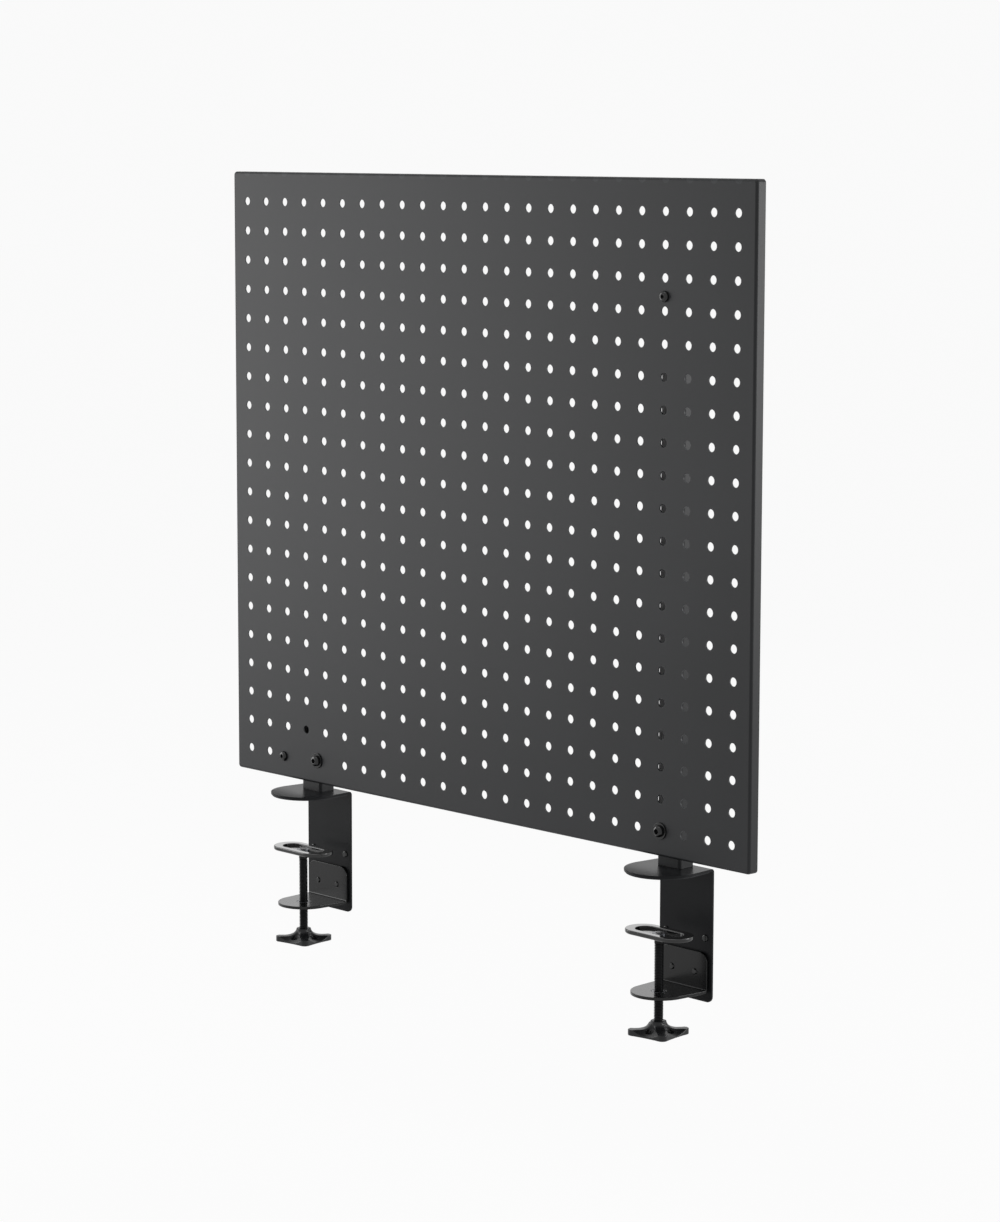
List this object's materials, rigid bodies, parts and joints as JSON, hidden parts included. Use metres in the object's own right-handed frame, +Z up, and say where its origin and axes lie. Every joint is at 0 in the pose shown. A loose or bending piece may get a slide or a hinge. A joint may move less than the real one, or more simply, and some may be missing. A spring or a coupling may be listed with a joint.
{
  "type": "desk clamp pegboard organizer",
  "caption": "Black steel pegboard panel on two screw clamps that grip a desk's rear edge and hold hooks and bins upright above it.",
  "frame": {"origin": "on the panel's centre line, on the desk top (Z = 0) at the desk's rear edge (Y = 0)", "axes": "+Z up, +X to the right as seen by the user in front, +Y away from the user; the panel's face looks along -Y"},
  "size_m": [0.6222, 0.0617, 0.6717],
  "materials": {
    "panel_steel": "fine satin black-grey powder coat",
    "clamp_steel": "satin black powder coat",
    "upright_steel": "satin black powder coat",
    "bracket_steel": "semi-gloss black paint",
    "pressure_plate_steel": "gloss black paint",
    "screw_steel": "black oxide, oiled",
    "fastener_black": "black oxide",
    "washer_black": "black zinc",
    "spacer_black": "matte black nylon",
    "insert_steel": "zinc plated",
    "jaw_rubber": "matte black rubber",
    "knob_plastic": "semi-gloss black plastic"
  },
  "bodies": {
    "root": {"pegboard_panel": "panel_steel", "left_head_plate": "upright_steel", "left_panel_bolt": "fastener_black", "left_panel_washer": "washer_black", "left_bolt_spacer": "spacer_black", "left_corner_screw": "fastener_black", "left_screw_spacer": "spacer_black", "right_panel_bolt": "fastener_black", "right_panel_washer": "washer_black", "right_bolt_spacer": "spacer_black", "right_bolt_nut": "fastener_black", "right_top_screw": "fastener_black", "right_top_spacer": "spacer_black", "right_top_nut": "fastener_black", "left_clamp_frame": "clamp_steel", "left_jaw_pad": "jaw_rubber", "left_upright": "upright_steel", "left_lower_bracket": "bracket_steel", "left_thread_insert": "insert_steel", "left_bracket_screws": "fastener_black", "left_plate_rivets": "fastener_black", "right_clamp_frame": "clamp_steel", "right_jaw_pad": "jaw_rubber", "right_upright": "upright_steel", "right_lower_bracket": "bracket_steel", "right_thread_insert": "insert_steel", "right_bracket_screws": "fastener_black", "right_plate_rivets": "fastener_black"},
    "left_pad": {"left_pressure_plate": "pressure_plate_steel", "left_thrust_washer": "washer_black"},
    "left_screw": {"left_clamp_screw": "screw_steel", "left_screw_knob": "knob_plastic", "left_retaining_clip": "insert_steel"},
    "right_pad": {"right_pressure_plate": "pressure_plate_steel", "right_thrust_washer": "washer_black"},
    "right_screw": {"right_clamp_screw": "screw_steel", "right_screw_knob": "knob_plastic", "right_retaining_clip": "insert_steel"}
  },
  "joints": [
    {"name": "left_lift", "type": "slide", "parent": "root", "child": "left_pad", "axis": [0, 0, 1], "range_m": [-0.0418, 0.0182]},
    {"name": "left_turn", "type": "hinge", "parent": "left_pad", "child": "left_screw", "pos_m": [-0.2209, -0.03, 0], "axis": [0, 0, 1], "range_deg": [-12044, 5247]},
    {"name": "right_lift", "type": "slide", "parent": "root", "child": "right_pad", "axis": [0, 0, 1], "range_m": [-0.0418, 0.0182]},
    {"name": "right_turn", "type": "hinge", "parent": "right_pad", "child": "right_screw", "pos_m": [0.2159, -0.03, 0], "axis": [0, 0, 1], "range_deg": [-12044, 5247]}
  ],
  "couplings": [
    {"joint": "left_turn", "follows": "left_lift", "rad_per_m": 5026.5},
    {"joint": "right_turn", "follows": "right_lift", "rad_per_m": 5026.5}
  ]
}
